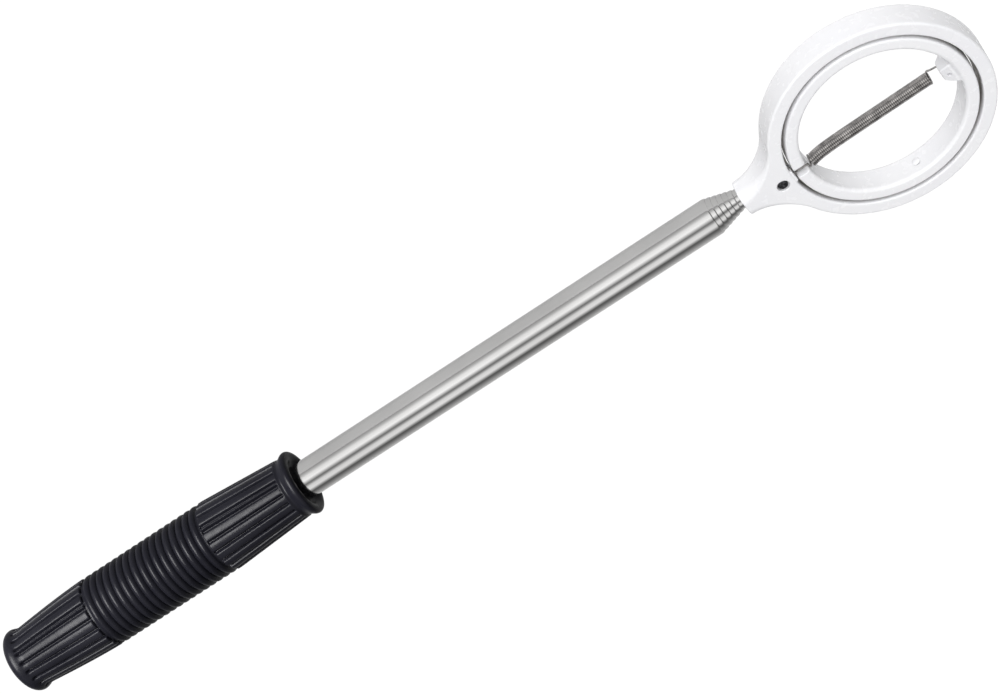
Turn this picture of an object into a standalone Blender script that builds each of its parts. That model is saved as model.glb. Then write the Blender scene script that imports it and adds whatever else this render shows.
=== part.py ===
"""Telescopic golf ball retriever: rubber grip, seven steel tubes and a double ring head with a spring.

The shaft lies along +X with the butt of the grip at the origin. The head's ring lies flat, its front
face towards +Z. Lengths below are in millimetres and become metres when the meshes are made.
"""

import math

import bmesh
import bpy
from mathutils import Vector

MM = 0.001
MERGE = 0.00001
SHARP_ANGLE = math.radians(35)

# Shaft
SECTIONS = 7
TUBE_OD = 15.0
SMALLEST_OD = 8.2
TUBE_WALL = 0.3
FIRST_TIP = 334.85
TIP_STEP = 2.05
HEAD_TUBE_END = 366.5
FIRST_REAR = 6.2
FIRST_TRAVEL = 300.0
TRAVEL_STEP = 8.0
MOUTH_LENGTH = 1.9
MOUTH_GAP = 0.06
NECK_LENGTH = 9.0
NECK_DEPTH = 0.5
REAR_LIP = 0.35
BUSH_LENGTH = 8.0
BUSH_GAP = 0.06
SPIN_GAP = 0.12
STOP_GAP = 0.3
TUBE_SIDES = 20

# Grip
GRIP_LENGTH = 143.1
GRIP_BORE = TUBE_OD / 2 + 0.1
GRIP_SIDES = 20
BUTT_FACE_RADIUS = 10.0
FLANGE_RADIUS = 13.8
BODY_START_RADIUS = 12.6
SHOULDER_RADIUS = 14.95
RIB_START = 43.65
RIB_COUNT = 17
RIB_PITCH = 3.306
RIB_RADIUS = 15.1
RIB_GROOVE = 0.75
NECK_END = 136.8
NECK_END_RADIUS = 12.65
LIP_RADIUS = 13.8
BLIND_DEPTH = 4.5

# Head; its rings' middle lies a little above the shaft's axis
HEAD_RISE = 1.3
SOCKET_RISE = 0.65
RING_X = 406.25
RING_OUTER = 44.0
RING_INNER = 38.6
RING_HALF = 6.0
RING_ROUND = 0.9
RING_SIDES = 48
SOCKET_START = 346.8
SOCKET_HALF = 6.2
SOCKET_END_HALF = 5.9
FILLET_START = 347.4
BLEND_END = 366.4
BLEND_INSET = 0.3
SOCKET_CLEARANCE = 0.2
SCREW_X = 362.9
STOP_TAB = (1.4, 5.6, 3.4)
STOP_TAB_CENTRE = (0.6, 3.9)
STOP_TAB_FACE = 37.7
WELL_FLOOR = 5.8
SCREW_HOLE_FLOOR = -4.4
SCREW_END = -4.0
WELL_RADIUS = 2.5
INNER_OUTER = 37.0
INNER_INNER = 32.0
INNER_ROUND = 1.5
PIN_SHANK = 1.25
PIN_HOLE = 1.5
PIN_HEAD = 1.9
PIN_HEAD_FACE = 31.5
PIN_END = 41.5
BOSS_TIP = 26.5
BOSS_TIP_HALF = 2.75
BOSS_BASE = 30.5
BOSS_BASE_HALF = 4.8
NOTCH_SIDES = (-0.8, 3.2)
NOTCH_FLOOR = 2.2
HOOK_SLOT = (35.95, 1.6, -0.4)

# Spring
SPRING_RADIUS = 2.7
WIRE_RADIUS = 0.5
SPRING_NEAR = 375.5
SPRING_FAR = 428.5
SPRING_NEAR_Z = 2.4
SPRING_FAR_Z = 0.4
NEAR_WIRE_Z = 3.0
WIRE_HOLE = 0.95
NEAR_HOOK_RADIUS = 36.75
HOOK_DROP = 2.6
FAR_WIRE_END = 434.5


def clear_scene():
    for old in list(bpy.data.objects):
        bpy.data.objects.remove(old, do_unlink=True)


def new_collection(name):
    made = bpy.data.collections.new(name)
    bpy.context.scene.collection.children.link(made)
    return made


def new_material(name, colour, roughness, metallic=0.0):
    made = bpy.data.materials.new(name)
    made.use_nodes = True
    shader = made.node_tree.nodes["Principled BSDF"]
    shader.inputs["Base Color"].default_value = (*colour, 1.0)
    shader.inputs["Roughness"].default_value = roughness
    shader.inputs["Metallic"].default_value = metallic
    made.diffuse_color = (*colour, 1.0)
    return made


def new_empty(name, location, parent=None):
    made = bpy.data.objects.new(name, None)
    made.empty_display_size = 0.01
    PARTS.objects.link(made)
    made.parent = parent
    made.location = Vector(location) * MM
    return made


def new_object(name, mesh, collection, material=None, parent=None):
    made = bpy.data.objects.new(name, mesh)
    collection.objects.link(made)
    made.parent = parent
    if material:
        mesh.materials.append(material)
    return made


def turned(name, profile, sides, collection, closed=False, **placing):
    """A profile of (distance along the axis, radius) points turned once about local Z."""
    mesh = bpy.data.meshes.new(name)
    points = [(radius * MM, 0.0, along * MM) for along, radius in profile]
    edges = [(i, i + 1) for i in range(len(points) - 1)]
    if closed:
        edges.append((len(points) - 1, 0))
    mesh.from_pydata(points, edges, [])
    made = new_object(name, mesh, collection, **placing)
    screw = made.modifiers.new("turn", "SCREW")
    screw.axis = "Z"
    screw.steps = sides
    screw.render_steps = sides
    screw.use_merge_vertices = True
    screw.merge_threshold = MERGE
    screw.use_smooth_shade = True
    return made


def along_shaft(made):
    """Lay a turned object's local Z along the shaft."""
    made.rotation_euler = (0.0, math.pi / 2, 0.0)
    return made


def as_cutter(made):
    made.hide_render = True
    made.display_type = "WIRE"
    return made


def rod_cutter(name, radius, low, high, axis, centre, sides=16):
    """A plain rod between two distances along a world axis, measured from centre."""
    mesh = bpy.data.meshes.new(name)
    rod = bmesh.new()
    bmesh.ops.create_cone(
        rod, cap_ends=True, segments=sides, radius1=radius * MM, radius2=radius * MM, depth=(high - low) * MM
    )
    rod.to_mesh(mesh)
    rod.free()
    made = as_cutter(new_object(name, mesh, CUTTERS))
    direction = Vector(axis)
    made.rotation_euler = direction.to_track_quat("Z", "Y").to_euler()
    made.location = (Vector(centre) + direction * (low + high) / 2) * MM
    return made


def box_cutter(name, size, centre):
    mesh = bpy.data.meshes.new(name)
    box = bmesh.new()
    bmesh.ops.create_cube(box, size=1.0)
    bmesh.ops.scale(box, vec=Vector(size) * MM, verts=box.verts)
    box.to_mesh(mesh)
    box.free()
    made = as_cutter(new_object(name, mesh, CUTTERS))
    made.location = Vector(centre) * MM
    return made


def combine(made, other, operation):
    step = made.modifiers.new(other.name, "BOOLEAN")
    step.operation = operation
    step.solver = "EXACT"
    step.object = other


# Shaft positions, worked out from the tips and the travels


def tube_radius(section):
    return (TUBE_OD - (TUBE_OD - SMALLEST_OD) * (section - 1) / (SECTIONS - 1)) / 2


def tube_bore(section):
    return tube_radius(section) - TUBE_WALL


def tube_tip(section):
    if section == SECTIONS:
        return HEAD_TUBE_END
    return FIRST_TIP + TIP_STEP * (section - 1)


def travel(section):
    return FIRST_TRAVEL - TRAVEL_STEP * (section - 2)


def tube_rear(section):
    """The rear end, set so that the bush meets the crimped mouth around it at full travel."""
    if section == 1:
        return FIRST_REAR
    stop = tube_tip(section - 1) - MOUTH_LENGTH
    return stop - STOP_GAP - travel(section) - BUSH_LENGTH - REAR_LIP - BUSH_GAP


def mouth_radius(section):
    gap = SPIN_GAP if section == SECTIONS - 1 else MOUTH_GAP
    return tube_radius(section + 1) + gap


def mouth_profile(section):
    """Outer then inner points of a crimped mouth, from the body round the rim and back in."""
    tip, outer, bore, rim = tube_tip(section), tube_radius(section), tube_bore(section), mouth_radius(section)
    return {
        "outer": [(tip, rim + 0.1), (tip - 0.1, rim + 0.28), (tip - 0.5, outer - 0.08), (tip - 1.1, outer)],
        "inner": [(tip - MOUTH_LENGTH, bore), (tip - 1.2, rim), (tip, rim)],
    }


def plain_end_profile(section):
    tip, outer, bore = tube_tip(section), tube_radius(section), tube_bore(section)
    return {"outer": [(tip, outer)], "inner": [(tip, bore)]}


def neck_profile(section):
    """The rear end of a sliding section: a neck for the bush, then a small rolled lip."""
    rear, outer, bore = tube_rear(section), tube_radius(section), tube_bore(section)
    neck_outer, neck_bore = outer - NECK_DEPTH, bore - NECK_DEPTH
    shoulder = rear + NECK_LENGTH
    lip_front = rear + REAR_LIP
    return {
        "outer": [(shoulder, outer), (shoulder - 0.3, neck_outer), (lip_front, neck_outer),
                  (rear, neck_outer + 0.3)],
        "inner": [(rear, neck_bore + 0.25), (lip_front, neck_bore), (shoulder - 0.2, neck_bore),
                  (shoulder + 0.2, bore)],
    }


def square_rear_profile(section):
    rear, outer, bore = tube_rear(section), tube_radius(section), tube_bore(section)
    return {"outer": [(rear, outer)], "inner": [(rear, bore)]}


def make_section(section, parent):
    front = plain_end_profile(section) if section == SECTIONS else mouth_profile(section)
    rear = square_rear_profile(section) if section == 1 else neck_profile(section)
    profile = front["outer"] + rear["outer"] + rear["inner"] + front["inner"]
    name = f"section_{section}_tube"
    tube = turned(name, profile, TUBE_SIDES, PARTS, closed=True, material=STEEL[section - 1], parent=parent)
    if section == SECTIONS:
        hole = rod_cutter("tube_screw_hole", 1.7, -9.0, 9.0, (0, 0, 1), (SCREW_X, 0.0, 0.0))
        combine(tube, hole, "DIFFERENCE")
    return along_shaft(tube)


def make_bush(section, parent):
    rear = tube_rear(section) + REAR_LIP + BUSH_GAP
    bore_gap = SPIN_GAP if section == SECTIONS else BUSH_GAP
    outer = tube_bore(section - 1) - BUSH_GAP
    bore = tube_radius(section) - NECK_DEPTH + bore_gap
    front = rear + BUSH_LENGTH
    profile = [(front, outer - 0.12), (front - 0.6, outer), (rear + 0.3, outer), (rear, outer - 0.3),
               (rear, bore), (front, bore)]
    bush = turned(f"bush_{section}", profile, TUBE_SIDES, PARTS, closed=True, material=NYLON, parent=parent)
    return along_shaft(bush)


# Grip


def grip_outside():
    """The grip's outer points from its lip at the head end back to the butt face."""
    ribs_end = RIB_START + RIB_COUNT * RIB_PITCH
    points = [(GRIP_LENGTH - 0.6, 10.2), (GRIP_LENGTH, 11.5), (GRIP_LENGTH - 0.3, 13.0)]
    points += [(GRIP_LENGTH - 1.4, LIP_RADIUS), (GRIP_LENGTH - 2.9, LIP_RADIUS - 0.4)]
    points += [(GRIP_LENGTH - 4.0, NECK_END_RADIUS), (GRIP_LENGTH - 4.8, NECK_END_RADIUS - 0.3)]
    points += [(NECK_END, NECK_END_RADIUS)]
    points += [(ribs_end + 1.8, SHOULDER_RADIUS), (ribs_end + 1.0, SHOULDER_RADIUS)]
    for rib in reversed(range(RIB_COUNT)):
        start = RIB_START + rib * RIB_PITCH
        end = start + RIB_PITCH
        points += [(end, RIB_RADIUS - RIB_GROOVE), (end - 0.8, RIB_RADIUS), (start + 0.8, RIB_RADIUS)]
    points += [(RIB_START, RIB_RADIUS - RIB_GROOVE), (RIB_START - 0.9, SHOULDER_RADIUS)]
    points += [(7.6, BODY_START_RADIUS), (6.6, BODY_START_RADIUS + 0.3)]
    points += [(5.0, FLANGE_RADIUS - 0.2), (3.8, FLANGE_RADIUS), (2.6, FLANGE_RADIUS - 0.25)]
    points += [(1.5, 12.8), (0.5, 11.5), (0.0, BUTT_FACE_RADIUS), (0.0, 0.0)]
    return points


def make_grip(parent):
    bore = [(BLIND_DEPTH, 0.0), (BLIND_DEPTH, GRIP_BORE)]
    mouth = [(GRIP_LENGTH - 2.2, GRIP_BORE), (GRIP_LENGTH - 2.2, 9.0)]
    profile = bore + mouth + grip_outside()
    return along_shaft(turned("grip", profile, GRIP_SIDES, PARTS, material=RUBBER, parent=parent))


def make_butt_plug(parent):
    """A stepped plug: a flange behind the largest tube and a spigot inside it."""
    spigot = tube_bore(1) - 0.15
    flange = tube_radius(1) - 0.1
    flange_front = FIRST_REAR - STOP_GAP
    front = FIRST_REAR + 12.0
    profile = [(front, 0.0), (front, spigot - 0.8), (front - 0.8, spigot), (flange_front, spigot),
               (flange_front, flange), (BLIND_DEPTH + STOP_GAP, flange), (BLIND_DEPTH + STOP_GAP, 0.0)]
    return along_shaft(turned("butt_plug", profile, TUBE_SIDES, PARTS, material=PLUG, parent=parent))


# Head


def ring_profile(outer, inner, outer_round, inner_round):
    """A ring's section as a closed loop, down its outer side and up its inner side."""
    def corner(size, edge, inward, steps):
        """A rounded front corner, from the front face round to the wall at radius edge."""
        points = []
        for i in range(steps + 1):
            angle = math.pi / 2 * i / steps
            drop, inset = size * (1 - math.cos(angle)), size * (1 - math.sin(angle))
            points.append((RING_HALF - drop, edge + inward * inset))
        return points

    front_out = corner(outer_round, outer, -1, 3)
    front_in = corner(inner_round, inner, 1, 2)
    back_out = [(-along, radius) for along, radius in reversed(front_out)]
    back_in = [(-along, radius) for along, radius in front_in]
    return front_out + back_out + back_in + front_in[::-1]


def fillet_radius():
    """Radius of the arc that leaves the socket's side and meets the ring's outside, tangent to both."""
    reach = RING_X - FILLET_START
    return (reach ** 2 / (RING_OUTER - SOCKET_HALF) - (RING_OUTER + SOCKET_HALF)) / 2


def fillet_half_width(x):
    """Half the socket's width: straight at first, then an arc that runs out along the ring."""
    if x <= FILLET_START:
        return SOCKET_HALF
    radius = fillet_radius()
    share = (x - FILLET_START) / (BLEND_END - FILLET_START)
    return SOCKET_HALF + radius - math.sqrt(radius ** 2 - (x - FILLET_START) ** 2) - BLEND_INSET * share


def socket_section(x, sides=28):
    """Outline of the socket across the shaft at x: a rounded square that widens into a slab."""
    share = max(0.0, (x - FILLET_START) / (BLEND_END - FILLET_START))
    power = 2.0 / (3.0 + 3.0 * share)
    half_width = fillet_half_width(x)
    half_height = SOCKET_HALF + (SOCKET_END_HALF - SOCKET_HALF) * share
    middle = SOCKET_RISE + (HEAD_RISE - SOCKET_RISE) * share
    points = []
    for i in range(sides):
        angle = 2 * math.pi * (i + 0.5) / sides
        across, up = math.cos(angle), math.sin(angle)
        points.append((
            x,
            half_width * math.copysign(abs(across) ** power, across),
            middle + half_height * math.copysign(abs(up) ** power, up),
        ))
    return points


def socket_loft():
    """The socket body as a loft between its cross sections, with flat ends."""
    stations = [SOCKET_START, FILLET_START, 351.0, 354.5, 358.0, 361.0, 364.0, BLEND_END]
    mesh = bpy.data.meshes.new("socket_loft")
    loft = bmesh.new()
    loops = [[loft.verts.new(Vector(point) * MM) for point in socket_section(x)] for x in stations]
    for loop in (loops[0], loops[-1]):
        loft.faces.new(loop)
    for near, far in zip(loops, loops[1:]):
        count = len(near)
        for i in range(count):
            after = (i + 1) % count
            loft.faces.new((near[i], near[after], far[after], far[i]))
    bmesh.ops.recalc_face_normals(loft, faces=loft.faces)
    loft.to_mesh(mesh)
    loft.free()
    return as_cutter(new_object("socket_loft", mesh, CUTTERS))


def make_head_frame(parent):
    """The outer ring, its socket and its stop tab as one moulding."""
    frame = turned(
        "head_frame", ring_profile(RING_OUTER, RING_INNER, RING_ROUND, 0.4), RING_SIDES, PARTS,
        closed=True, material=WHITE_FRAME, parent=parent,
    )
    frame.location = (RING_X * MM, 0.0, HEAD_RISE * MM)
    combine(frame, socket_loft(), "UNION")
    bore_radius = tube_radius(SECTIONS) + SOCKET_CLEARANCE
    bore = rod_cutter("socket_bore", bore_radius, SOCKET_START - 5, RING_X - RING_INNER + 3, (1, 0, 0),
                      (0.0, 0.0, 0.0), TUBE_SIDES)
    combine(frame, bore, "DIFFERENCE")
    across, up = STOP_TAB_CENTRE
    tab_place = (RING_X - STOP_TAB_FACE - STOP_TAB[0] / 2, across, up + HEAD_RISE)
    tab = box_cutter("stop_tab", STOP_TAB, tab_place)
    combine(frame, tab, "UNION")
    at_screw = (SCREW_X, 0.0, 0.0)
    hole = rod_cutter("screw_hole", 1.5, SCREW_HOLE_FLOOR, 9.0, (0, 0, 1), at_screw)
    combine(frame, hole, "DIFFERENCE")
    combine(frame, rod_cutter("screw_well", WELL_RADIUS, WELL_FLOOR, 9.0, (0, 0, 1), at_screw), "DIFFERENCE")
    for side in (-1, 1):
        hole = rod_cutter(f"frame_pin_hole_{side}", PIN_HOLE, 36.0, PIN_END + 0.4, (0, side, 0),
                          (RING_X, 0.0, HEAD_RISE))
        combine(frame, hole, "DIFFERENCE")
    return frame


def make_tip_plug(parent):
    radius = tube_bore(SECTIONS) - 0.15
    end = tube_tip(SECTIONS) - 0.4
    profile = [(end, 0.0), (end, radius - 0.5), (end - 0.5, radius), (SOCKET_START + 2.5, radius),
               (SOCKET_START + 2.0, radius - 0.5), (SOCKET_START + 2.0, 0.0)]
    plug = along_shaft(turned("tip_plug", profile, TUBE_SIDES, PARTS, material=PLUG_TIP, parent=parent))
    thread = rod_cutter("plug_thread", 1.4, -9.0, 9.0, (0, 0, 1), (SCREW_X, 0.0, 0.0))
    combine(plug, thread, "DIFFERENCE")
    return plug


def make_head_screw(parent):
    """A pan head screw that lies in the well of the socket, with a cross recess."""
    under = WELL_FLOOR + STOP_GAP
    profile = [(under + 1.2, 0.0), (under + 1.1, 1.0), (under + 0.75, 1.8), (under + 0.35, 2.2),
               (under, 2.2), (under, 1.15), (SCREW_END + 1.0, 1.15), (SCREW_END, 0.3), (SCREW_END, 0.0)]
    screw = turned("head_screw", profile, 16, PARTS, material=SCREW_STEEL, parent=parent)
    screw.location = (SCREW_X * MM, 0.0, 0.0)
    for name, size in (("recess_long", (2.4, 0.55, 1.2)), ("recess_cross", (0.55, 2.4, 1.2))):
        combine(screw, box_cutter(name, size, (SCREW_X, 0.0, under + 1.2)), "DIFFERENCE")
    return screw


def make_pivot_pin(name, side, material, parent):
    """A headed pin through the inner ring into the outer ring, pointing outwards along Y."""
    face = PIN_HEAD_FACE
    profile = [(PIN_END, 0.0), (PIN_END, PIN_SHANK - 0.3), (PIN_END - 0.5, PIN_SHANK), (face, PIN_SHANK),
               (face, PIN_HEAD), (face - 0.5, PIN_HEAD - 0.2), (face - 0.9, 1.1), (face - 1.0, 0.0)]
    pin = turned(name, profile, 14, PARTS, material=material, parent=parent)
    pin.rotation_euler = (-side * math.pi / 2, 0.0, 0.0)
    pin.location = (RING_X * MM, 0.0, HEAD_RISE * MM)
    return pin


def boss_block():
    """The tapered boss that holds the spring's far wire, from its tip to inside the ring's wall."""
    stations = [(BOSS_TIP, BOSS_TIP_HALF), (BOSS_BASE, BOSS_BASE_HALF), (INNER_INNER + 1.5, BOSS_BASE_HALF)]
    mesh = bpy.data.meshes.new("boss")
    block = bmesh.new()
    loops = []
    for reach, half in stations:
        corners = [(-half, -half), (half, -half), (half, half), (-half, half)]
        loops.append([block.verts.new(Vector((RING_X + reach, y, z + HEAD_RISE)) * MM) for y, z in corners])
    block.faces.new(loops[0])
    block.faces.new(loops[-1])
    for near, far in zip(loops, loops[1:]):
        for i in range(4):
            after = (i + 1) % 4
            block.faces.new((near[i], near[after], far[after], far[i]))
    bmesh.ops.recalc_face_normals(block, faces=block.faces)
    block.to_mesh(mesh)
    block.free()
    return as_cutter(new_object("boss", mesh, CUTTERS))


def notch_cutter():
    """The open notch in the front face of the inner ring where the spring's near wire lies."""
    low, high = NOTCH_SIDES
    wall = INNER_OUTER - INNER_INNER + 3.0
    top = RING_HALF + 2.0
    middle = RING_X - (INNER_OUTER + INNER_INNER) / 2
    return box_cutter("notch", (wall, high - low, top - NOTCH_FLOOR),
                      (middle, (low + high) / 2, (top + NOTCH_FLOOR) / 2 + HEAD_RISE))


def hook_slot_cutter():
    """The slot down the inner ring's outer wall, below the notch, where the spring's hook hangs."""
    near, width, bottom = HOOK_SLOT
    far, top = INNER_OUTER + 1.0, NOTCH_FLOOR + 0.5
    return box_cutter("hook_slot", (far - near, width, top - bottom),
                      (RING_X - (near + far) / 2, 0.0, (bottom + top) / 2 + HEAD_RISE))


def make_inner_ring(parent):
    ring = turned(
        "inner_ring", ring_profile(INNER_OUTER, INNER_INNER, 0.5, INNER_ROUND), RING_SIDES, PARTS,
        closed=True, material=WHITE_RING, parent=parent,
    )
    combine(ring, boss_block(), "UNION")
    combine(ring, notch_cutter(), "DIFFERENCE")
    combine(ring, hook_slot_cutter(), "DIFFERENCE")
    combine(ring, rod_cutter("boss_hole", WIRE_HOLE, RING_X + BOSS_TIP - 2, FAR_WIRE_END + 0.6, (1, 0, 0),
                             (0.0, 0.0, SPRING_FAR_Z + HEAD_RISE), 10), "DIFFERENCE")
    for side in (-1, 1):
        place = (RING_X, 0.0, HEAD_RISE)
        hole = rod_cutter(f"ring_pin_hole_{side}", PIN_HOLE, 30.0, 38.0, (0, side, 0), place)
        combine(ring, hole, "DIFFERENCE")
    return ring


def spring_height(x):
    """Height of the spring's centre line above the ring's middle, slightly bowed."""
    share = (x - SPRING_NEAR) / (SPRING_FAR - SPRING_NEAR)
    share = min(1.0, max(0.0, share))
    return SPRING_NEAR_Z + (SPRING_FAR_Z - SPRING_NEAR_Z) * (1 - (1 - share) ** 1.6)


def spring_route():
    """(x, z, radius) along the spring: hook, wire, close coil and the far wire."""
    hook_x = RING_X - NEAR_HOOK_RADIUS
    route = [(hook_x, NEAR_WIRE_Z - HOOK_DROP, WIRE_RADIUS), (hook_x, NEAR_WIRE_Z - 0.6, WIRE_RADIUS)]
    route += [(hook_x + 0.6, NEAR_WIRE_Z, WIRE_RADIUS), (SPRING_NEAR, NEAR_WIRE_Z, WIRE_RADIUS)]
    steps = 8
    for i in range(steps + 1):
        x = SPRING_NEAR + 0.3 + (SPRING_FAR - SPRING_NEAR - 0.6) * i / steps
        route.append((x, spring_height(x), SPRING_RADIUS))
    route += [(SPRING_FAR, SPRING_FAR_Z, WIRE_RADIUS), (FAR_WIRE_END, SPRING_FAR_Z, WIRE_RADIUS)]
    return route


def make_ball_spring(parent):
    """The spring as a plain rod of the coil's size with its two end wires."""
    route = spring_route()
    curve = bpy.data.curves.new("ball_spring", "CURVE")
    curve.dimensions = "3D"
    curve.bevel_depth = SPRING_RADIUS * MM
    curve.bevel_resolution = 3
    curve.use_fill_caps = True
    spline = curve.splines.new("POLY")
    spline.points.add(len(route) - 1)
    for point, (x, z, radius) in zip(spline.points, route):
        point.co = (*(Vector((x - RING_X, 0.0, z)) * MM), 1.0)
        point.radius = radius / SPRING_RADIUS
    return new_object("ball_spring", curve, PARTS, material=SPRING_STEEL, parent=parent)


def smooth_round_parts():
    """Smooth shading, with edges sharper than the limit kept crisp."""
    for made in PARTS.objects:
        if made.type == "MESH" and made.data.polygons:
            made.data.shade_smooth()
            made.data.set_sharp_from_angle(angle=SHARP_ANGLE)


def build():
    handle = new_empty("handle_axis", (0, 0, 0))
    make_grip(handle)
    make_butt_plug(handle)
    make_section(1, handle)
    carrier = handle
    for section in range(2, SECTIONS):
        carrier = new_empty(f"section_{section}_slide", (0, 0, 0), carrier)
        make_section(section, carrier)
        make_bush(section, carrier)
    swivel = new_empty("swivel_slide", (0, 0, 0), carrier)
    make_bush(SECTIONS, swivel)
    head = new_empty("head_spin", (0, 0, 0), swivel)
    make_section(SECTIONS, head)
    make_head_frame(head)
    make_tip_plug(head)
    make_head_screw(head)
    make_pivot_pin("pivot_pin_left", 1, PIN_LEFT, head)
    make_pivot_pin("pivot_pin_right", -1, PIN_RIGHT, head)
    ring_pivot = new_empty("ring_pivot", (RING_X, 0, HEAD_RISE), head)
    make_inner_ring(ring_pivot)
    make_ball_spring(ring_pivot)
    smooth_round_parts()


clear_scene()
PARTS = new_collection("golf_ball_retriever")
CUTTERS = new_collection("cutters")
RUBBER = new_material("grip_rubber", (0.02, 0.021, 0.026), 0.5)
STEEL = [new_material(f"tube_steel_{i + 1}", (0.66, 0.65, 0.64), 0.16, 1.0) for i in range(SECTIONS)]
NYLON = new_material("bush_nylon", (0.75, 0.74, 0.7), 0.45)
PLUG = new_material("plug_plastic", (0.05, 0.05, 0.05), 0.5)
PLUG_TIP = new_material("tip_plug_plastic", (0.06, 0.06, 0.06), 0.5)
WHITE_FRAME = new_material("frame_white", (0.87, 0.87, 0.88), 0.25)
WHITE_RING = new_material("ring_white", (0.87, 0.87, 0.88), 0.25)
PIN_LEFT = new_material("pin_left_white", (0.85, 0.85, 0.86), 0.3)
PIN_RIGHT = new_material("pin_right_white", (0.85, 0.85, 0.86), 0.3)
SCREW_STEEL = new_material("screw_steel", (0.25, 0.25, 0.26), 0.35, 1.0)
SPRING_STEEL = new_material("spring_steel", (0.12, 0.115, 0.115), 0.35, 1.0)
build()
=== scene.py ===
"""Looks of a telescopic golf ball retriever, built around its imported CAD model.

The shaft lies along +X from the butt of the grip, the front face of the ring head looks along +Z, and the
ring's pivot pins lie along Y. Shapes are worked out in millimetres and become metres as a mesh is made.
"""

import math

import bpy
import numpy as np
from mathutils import Matrix, Vector


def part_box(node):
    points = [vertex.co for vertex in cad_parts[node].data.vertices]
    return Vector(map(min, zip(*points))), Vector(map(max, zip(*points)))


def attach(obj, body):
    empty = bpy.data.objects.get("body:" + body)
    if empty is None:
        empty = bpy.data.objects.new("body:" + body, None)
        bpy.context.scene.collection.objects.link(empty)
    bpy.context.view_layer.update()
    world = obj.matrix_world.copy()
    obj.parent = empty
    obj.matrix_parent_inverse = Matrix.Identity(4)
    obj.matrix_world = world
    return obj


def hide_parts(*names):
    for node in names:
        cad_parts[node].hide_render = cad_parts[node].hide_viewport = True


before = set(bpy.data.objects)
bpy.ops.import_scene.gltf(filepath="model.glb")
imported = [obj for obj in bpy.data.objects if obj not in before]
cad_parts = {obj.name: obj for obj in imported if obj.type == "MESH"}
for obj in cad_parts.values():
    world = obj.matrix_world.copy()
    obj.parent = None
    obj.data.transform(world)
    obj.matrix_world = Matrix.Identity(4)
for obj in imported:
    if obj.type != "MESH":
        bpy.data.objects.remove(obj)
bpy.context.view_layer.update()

MM = 0.001


def node_box(name):
    """Lowest and highest corner of a CAD node, in millimetres."""
    low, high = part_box(name)
    return low / MM, high / MM


# Meshes: sharp edges of turned ones in degrees, moves of a net's points, and reach of a slope
TURNED_SHARP = 40
NET_STEP = 0.42
NET_MARGIN = 1.03
NET_MOVES = 5
SLOPE_REACH = 0.01

# Most of a noise texture's values lie between these
NOISE_LOW = 0.3
NOISE_HIGH = 0.7

# Shaft, from the CAD tubes
SECTIONS = 7
TUBE_BOXES = [node_box(f"section_{k}_tube") for k in range(1, SECTIONS + 1)]
TUBE_REAR = [low.x for low, high in TUBE_BOXES]
TUBE_TIP = [high.x for low, high in TUBE_BOXES]
TUBE_RADIUS = [high.y for low, high in TUBE_BOXES]
TUBE_WALL = 0.3
TUBE_SIDES = 96
CRIMP_LENGTH = 1.5
MOUTH_LENGTH = 1.9
MOUTH_GAP = 0.06
NECK_LENGTH = 9.0
NECK_DEPTH = 0.5

# Grip, from the CAD grip
GRIP_END = node_box("grip")[1].x
GRIP_BORE = TUBE_RADIUS[0] + 0.1
BLIND_DEPTH = 4.5
RIB_COUNT = 17
RIB_START = 43.65
RIB_PITCH = 3.306
RIB_RADIUS = 15.1
RIB_DEPTH = 1.25
RIBS_END = RIB_START + RIB_COUNT * RIB_PITCH
SHOULDER_RADIUS = 15.05
BODY_START = 7.8
BODY_RADIUS = 12.7
NECK_END = GRIP_END - 5.8
NECK_RADIUS = 12.7
FLUTE_COUNT = 20
FLUTE_FIRST = 29.3
FLUTE_STEP = 18.447
FLUTE_DEPTH = 1.25
FLUTE_TOP = 3.5
FLUTE_FLOOR = 0.9
FLUTE_COLUMNS = (0.0, 0.5, 0.9, 1.3, 1.7, 2.1, 2.5, 3.0, 3.5)
PAD_COLUMNS = (0.27, 0.34, 0.42, 0.5, 0.58, 0.66, 0.73)
PAD_ROUND = 0.4
PAD_LEVEL = 0.2
BUTT_CURVE = ((0.0, 9.0), (0.3, 10.4), (1.4, 12.4), (2.6, 13.4), (3.9, 13.75), (5.2, 13.5), (6.6, 12.95))
LIP_CURVE = ((-5.7, 12.6), (-4.7, 12.35), (-3.6, 12.9), (-2.4, 13.6), (-1.4, 13.8), (-0.5, 13.4),
             (-0.05, 12.5), (0.0, 11.4), (-0.4, 10.3), (-1.3, 9.3))
CURVE_STEPS = 5
RIB_STEPS = 12
RIB_FULLNESS = 0.85
BODY_END = RIB_START - 1.1
BODY_SWELL = math.radians(75)
NECK_START = RIBS_END + 0.9
NECK_LEVEL = 2.0
SHOULDER_DROPS = (0.15, 0.5)

# The grooves along the grip: where each run of them fades in and out, and the wall that has none inside
FLUTE_RUNS = (
    ((5.6, 6.8), (RIB_START - 1.15, RIB_START - 0.95)),
    ((RIBS_END + 0.75, RIBS_END + 0.9), (NECK_END - 0.9, NECK_END - 0.3)),
)
FLUTE_WALL = 1.5

# Outer ring and its bead, from the CAD head; the rings' middle plane, from the CAD inner ring
RING_OUTER = node_box("head_frame")[1].y
RING_X = node_box("head_frame")[1].x - RING_OUTER
HEAD_RISE = (node_box("inner_ring")[0].z + node_box("inner_ring")[1].z) / 2
SOCKET_RISE = HEAD_RISE / 2
RING_HALF = node_box("inner_ring")[1].z - HEAD_RISE
RING_INNER = 38.6
RING_EDGE = 0.9
BEAD_RADIUS = 37.78
BEAD_HALF = 1.1
BEAD_EDGE = 0.35
BEAD_ROOT = 1.0
WALL_EDGE = 0.6

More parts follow.
